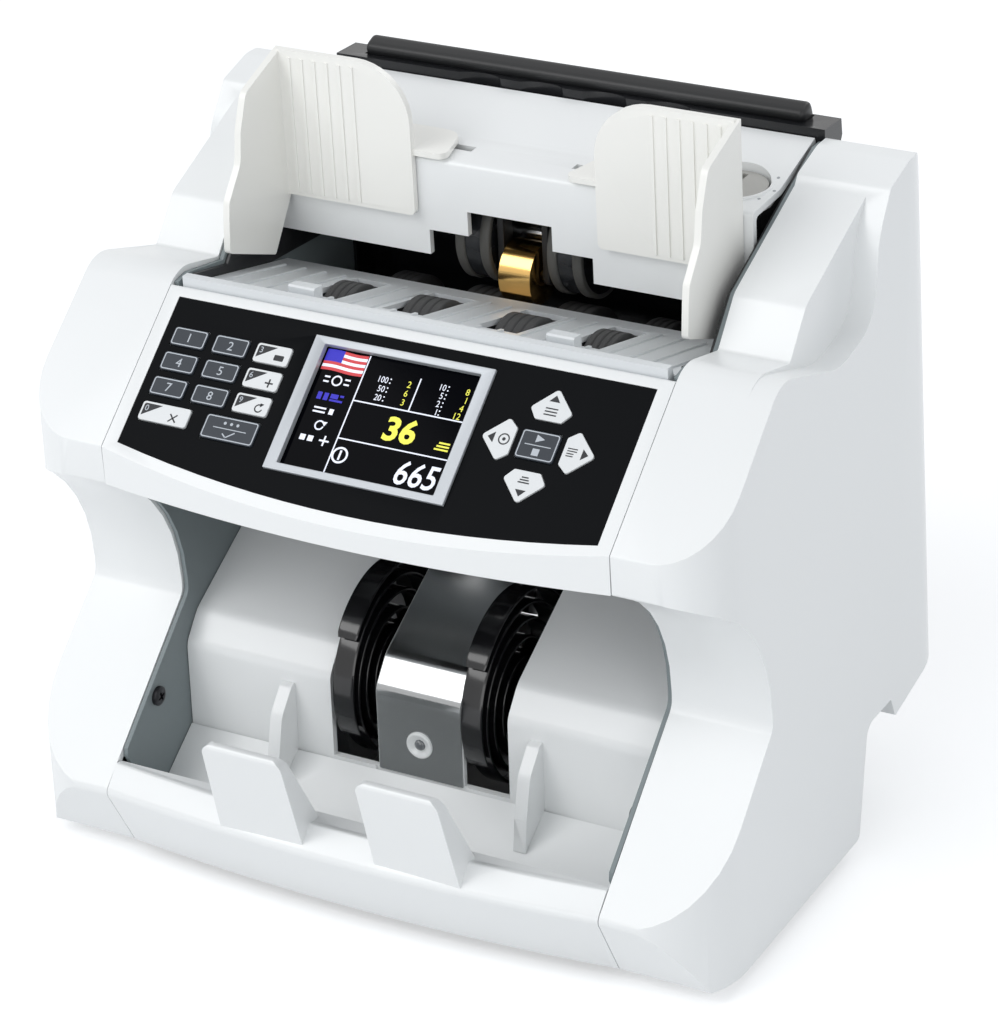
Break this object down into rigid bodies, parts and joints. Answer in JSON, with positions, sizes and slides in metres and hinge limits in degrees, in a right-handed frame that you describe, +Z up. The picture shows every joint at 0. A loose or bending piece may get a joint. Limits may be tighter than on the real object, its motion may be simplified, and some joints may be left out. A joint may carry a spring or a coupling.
{
  "type": "banknote counting machine",
  "caption": "Desktop banknote counting machine, white casing, with a note hopper, sloping keypad console with a screen, stacker wheels and a front tray.",
  "frame": {"origin": "centre of the machine's footprint, on the surface it stands on", "axes": "+X to the right seen from the front, +Y towards the rear, +Z up; the console and tray face -Y"},
  "size_m": [0.2618, 0.2033, 0.254],
  "materials": {
    "abs_white": "gloss",
    "guide_ivory": "gloss",
    "plate_grey": "satin",
    "overlay_black": "satin",
    "bezel_silver": "satin",
    "screen": "gloss",
    "key_slate": "satin",
    "key_white": "satin",
    "board_green": "satin",
    "floor_grey": "satin",
    "black_plastic": "satin",
    "wheel_black": "gloss",
    "chrome_sheet": "mirror",
    "lens_white": "gloss",
    "steel": "satin",
    "zinc_steel": "satin",
    "rubber_black": "matte",
    "rubber_grey": "matte",
    "brass": "satin",
    "bronze": "matte",
    "pulley_metal": "satin"
  },
  "bodies": {
    "frame": {"base_plate": "zinc_steel", "rubber_feet": "rubber_black", "left_frame_plate": "plate_grey", "right_frame_plate": "plate_grey", "left_side_casing": "abs_white", "right_side_casing": "abs_white", "casing_screws": "steel", "front_tray": "abs_white", "chute_cover": "abs_white", "chrome_plate": "chrome_sheet", "tray_sensor_lens": "lens_white", "console_housing": "abs_white", "panel_overlay": "overlay_black", "display_bezel": "bezel_silver", "display_module": "screen", "keypad_board": "board_green", "hopper_floor": "floor_grey", "hopper_cheeks": "black_plastic", "top_cover": "abs_white", "roller_bracket": "black_plastic", "shaft_bearings": "bronze", "drive_belts": "rubber_black", "drive_motor": "zinc_steel", "note_guide": "black_plastic", "main_board": "board_green", "power_supply": "zinc_steel", "power_inlet": "black_plastic"},
    "right_guide": {"right_guide": "guide_ivory"},
    "left_guide": {"left_guide": "guide_ivory"},
    "pinion": {"guide_pinion": "key_white"},
    "dial": {"gap_dial": "guide_ivory"},
    "feed": {"feed_shaft": "steel", "feed_rollers": "rubber_grey"},
    "pickup": {"pickup_shaft": "steel", "pickup_rollers": "rubber_grey"},
    "separator": {"separator_shaft": "steel", "separator_rollers": "rubber_black"},
    "brass": {"brass_roller": "brass"},
    "stacker": {"stacker_shaft": "steel", "stacker_wheels": "wheel_black"},
    "motor_pulleys": {"motor_pulley": "pulley_metal"},
    "door": {"rear_door": "black_plastic", "grip_bar": "black_plastic"},
    "rocker": {"power_rocker": "black_plastic"},
    "key_1": {"key_1": "key_slate"},
    "key_2": {"key_2": "key_slate"},
    "key_3": {"key_3": "key_white"},
    "key_4": {"key_4": "key_slate"},
    "key_5": {"key_5": "key_slate"},
    "key_6": {"key_6": "key_white"},
    "key_7": {"key_7": "key_slate"},
    "key_8": {"key_8": "key_slate"},
    "key_9": {"key_9": "key_white"},
    "key_0": {"key_0": "key_white"},
    "key_enter": {"key_enter": "key_slate"},
    "key_up": {"key_up": "key_white"},
    "key_left": {"key_left": "key_white"},
    "key_start": {"key_start": "key_slate"},
    "key_right": {"key_right": "key_white"},
    "key_down": {"key_down": "key_white"}
  },
  "joints": [
    {"name": "key_1_press", "type": "slide", "parent": "frame", "child": "key_1", "axis": [0, 0.6239, -0.7815], "range_m": [0, 0.0006], "stiffness_N_per_m": 400},
    {"name": "key_2_press", "type": "slide", "parent": "frame", "child": "key_2", "axis": [0, 0.6239, -0.7815], "range_m": [0, 0.0006], "stiffness_N_per_m": 400},
    {"name": "key_3_press", "type": "slide", "parent": "frame", "child": "key_3", "axis": [0, 0.6239, -0.7815], "range_m": [0, 0.0006], "stiffness_N_per_m": 400},
    {"name": "key_4_press", "type": "slide", "parent": "frame", "child": "key_4", "axis": [0, 0.6239, -0.7815], "range_m": [0, 0.0006], "stiffness_N_per_m": 400},
    {"name": "key_5_press", "type": "slide", "parent": "frame", "child": "key_5", "axis": [0, 0.6239, -0.7815], "range_m": [0, 0.0006], "stiffness_N_per_m": 400},
    {"name": "key_6_press", "type": "slide", "parent": "frame", "child": "key_6", "axis": [0, 0.6239, -0.7815], "range_m": [0, 0.0006], "stiffness_N_per_m": 400},
    {"name": "key_7_press", "type": "slide", "parent": "frame", "child": "key_7", "axis": [0, 0.6239, -0.7815], "range_m": [0, 0.0006], "stiffness_N_per_m": 400},
    {"name": "key_8_press", "type": "slide", "parent": "frame", "child": "key_8", "axis": [0, 0.6239, -0.7815], "range_m": [0, 0.0006], "stiffness_N_per_m": 400},
    {"name": "key_9_press", "type": "slide", "parent": "frame", "child": "key_9", "axis": [0, 0.6239, -0.7815], "range_m": [0, 0.0006], "stiffness_N_per_m": 400},
    {"name": "key_0_press", "type": "slide", "parent": "frame", "child": "key_0", "axis": [0, 0.6239, -0.7815], "range_m": [0, 0.0006], "stiffness_N_per_m": 400},
    {"name": "key_enter_press", "type": "slide", "parent": "frame", "child": "key_enter", "axis": [0, 0.6239, -0.7815], "range_m": [0, 0.0006], "stiffness_N_per_m": 400},
    {"name": "key_up_press", "type": "slide", "parent": "frame", "child": "key_up", "axis": [0, 0.6239, -0.7815], "range_m": [0, 0.0006], "stiffness_N_per_m": 400},
    {"name": "key_left_press", "type": "slide", "parent": "frame", "child": "key_left", "axis": [0, 0.6239, -0.7815], "range_m": [0, 0.0006], "stiffness_N_per_m": 400},
    {"name": "key_start_press", "type": "slide", "parent": "frame", "child": "key_start", "axis": [0, 0.6239, -0.7815], "range_m": [0, 0.0006], "stiffness_N_per_m": 400},
    {"name": "key_right_press", "type": "slide", "parent": "frame", "child": "key_right", "axis": [0, 0.6239, -0.7815], "range_m": [0, 0.0006], "stiffness_N_per_m": 400},
    {"name": "key_down_press", "type": "slide", "parent": "frame", "child": "key_down", "axis": [0, 0.6239, -0.7815], "range_m": [0, 0.0006], "stiffness_N_per_m": 400},
    {"name": "feed_spin", "type": "hinge", "parent": "frame", "child": "feed", "pos_m": [0, 0.05075, 0.149], "axis": [1, 0, 0], "continuous": true},
    {"name": "pickup_spin", "type": "hinge", "parent": "frame", "child": "pickup", "pos_m": [0, 0.01375, 0.168], "axis": [1, 0, 0], "continuous": true},
    {"name": "separator_spin", "type": "hinge", "parent": "frame", "child": "separator", "pos_m": [0, 0.06225, 0.1905], "axis": [1, 0, 0], "continuous": true},
    {"name": "brass_spin", "type": "hinge", "parent": "frame", "child": "brass", "pos_m": [0, 0.05075, 0.1815], "axis": [1, 0, 0], "continuous": true},
    {"name": "stacker_spin", "type": "hinge", "parent": "frame", "child": "stacker", "pos_m": [0, -0.00425, 0.058], "axis": [1, 0, 0], "continuous": true},
    {"name": "motor_spin", "type": "hinge", "parent": "frame", "child": "motor_pulleys", "pos_m": [0, 0.05575, 0.084], "axis": [1, 0, 0], "continuous": true},
    {"name": "right_guide_slide", "type": "slide", "parent": "frame", "child": "right_guide", "axis": [-1, 0, 0], "range_m": [-0.002, 0.018]},
    {"name": "left_guide_slide", "type": "slide", "parent": "frame", "child": "left_guide", "axis": [1, 0, 0], "range_m": [-0.002, 0.018]},
    {"name": "pinion_turn", "type": "hinge", "parent": "frame", "child": "pinion", "pos_m": [0, 0.05125, 0.215], "axis": [0, 0, 1], "range_deg": [-23, 207]},
    {"name": "dial_turn", "type": "hinge", "parent": "frame", "child": "dial", "pos_m": [0.074, 0.05735, 0.22], "axis": [0, 0, 1], "range_deg": [-150, 150]},
    {"name": "door_hinge", "type": "hinge", "parent": "frame", "child": "door", "pos_m": [0, 0.08975, 0.066], "axis": [-1, 0, 0], "range_deg": [0, 70]},
    {"name": "rocker_tip", "type": "hinge", "parent": "frame", "child": "rocker", "pos_m": [-0.034, 0.09275, 0.03], "axis": [1, 0, 0], "range_deg": [0, 8]}
  ],
  "couplings": [
    {"joint": "pickup_spin", "follows": "feed_spin", "ratio": 1},
    {"joint": "separator_spin", "follows": "feed_spin", "ratio": 1},
    {"joint": "motor_spin", "follows": "feed_spin", "ratio": 1.2857},
    {"joint": "stacker_spin", "follows": "feed_spin", "ratio": 0.64286},
    {"joint": "left_guide_slide", "follows": "right_guide_slide", "ratio": 1},
    {"joint": "pinion_turn", "follows": "right_guide_slide", "rad_per_m": 200}
  ]
}
